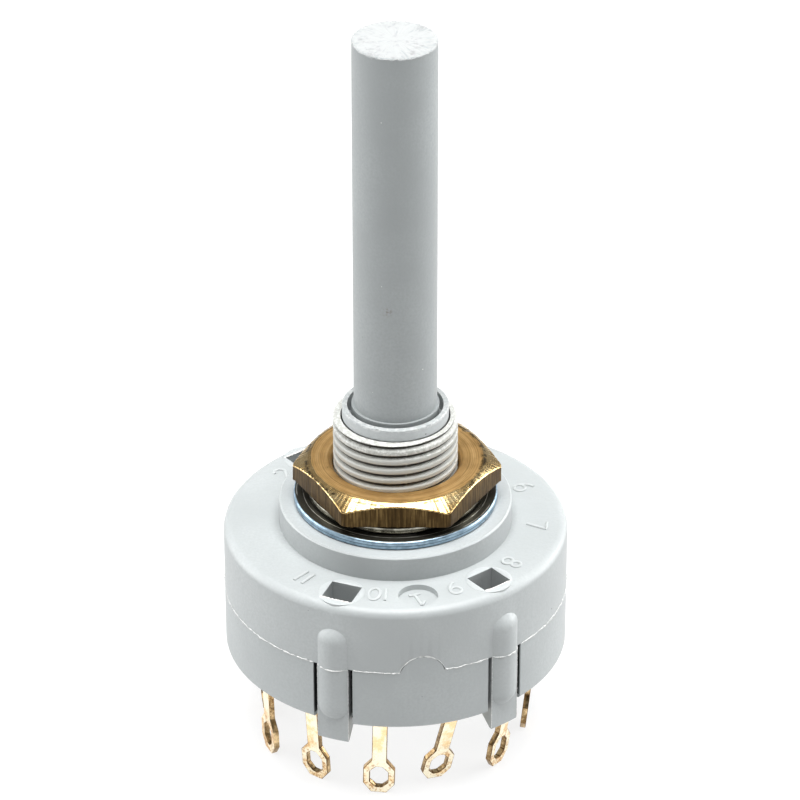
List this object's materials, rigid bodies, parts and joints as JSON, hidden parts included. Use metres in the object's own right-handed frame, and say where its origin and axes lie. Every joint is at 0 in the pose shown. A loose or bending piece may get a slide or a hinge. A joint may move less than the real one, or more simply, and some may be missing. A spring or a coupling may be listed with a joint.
{
  "type": "rotary switch",
  "caption": "Panel-mounting rotary switch: long plain spindle, threaded bush with nut and washers, round snap-fit plastic body and a circle of solder tags.",
  "frame": {"origin": "on the spindle's axis, at the level of the solder tags' tips", "axes": "+Z along the spindle, away from the body; the key axis with the round index recess and the half-round key tab faces -Y"},
  "size_m": [0.0266, 0.0266, 0.0596],
  "materials": {
    "housing_plastic": "satin light grey moulding",
    "base_plastic": "satin light grey moulding",
    "spindle_plastic": "satin light grey moulding",
    "nut_brass": "turned brass",
    "washer_steel": "dark spring steel",
    "plated_steel": "bright zinc plate",
    "contact_metal": "pale gold plated brass",
    "ball_steel": "polished steel",
    "spring_steel": "drawn wire"
  },
  "bodies": {
    "housing": {"front_housing": "housing_plastic", "rear_base": "base_plastic", "hex_nut": "nut_brass", "lock_washer": "washer_steel", "stop_ring": "plated_steel", "common_terminal": "contact_metal", "tag_01": "contact_metal", "tag_02": "contact_metal", "tag_03": "contact_metal", "tag_04": "contact_metal", "tag_05": "contact_metal", "tag_06": "contact_metal", "tag_07": "contact_metal", "tag_08": "contact_metal", "tag_09": "contact_metal", "tag_10": "contact_metal", "tag_11": "contact_metal", "tag_12": "contact_metal"},
    "rotor": {"spindle": "spindle_plastic", "detent_spring": "spring_steel", "wiper_contact": "contact_metal"},
    "ball_a": {"detent_ball_a": "ball_steel"},
    "ball_b": {"detent_ball_b": "ball_steel"}
  },
  "joints": [
    {"name": "spindle_turn", "type": "hinge", "parent": "housing", "child": "rotor", "pos_m": [0, 0, 0], "axis": [0, 0, -1], "range_deg": [0, 330]},
    {"name": "detent_a", "type": "slide", "parent": "rotor", "child": "ball_a", "axis": [-0.2588, -0.9659, 0], "range_m": [0, 0.00045], "stiffness_N_per_m": 600, "springref_m": 0.0012},
    {"name": "detent_b", "type": "slide", "parent": "rotor", "child": "ball_b", "axis": [0.2588, 0.9659, 0], "range_m": [0, 0.00045], "stiffness_N_per_m": 600, "springref_m": 0.0012}
  ]
}
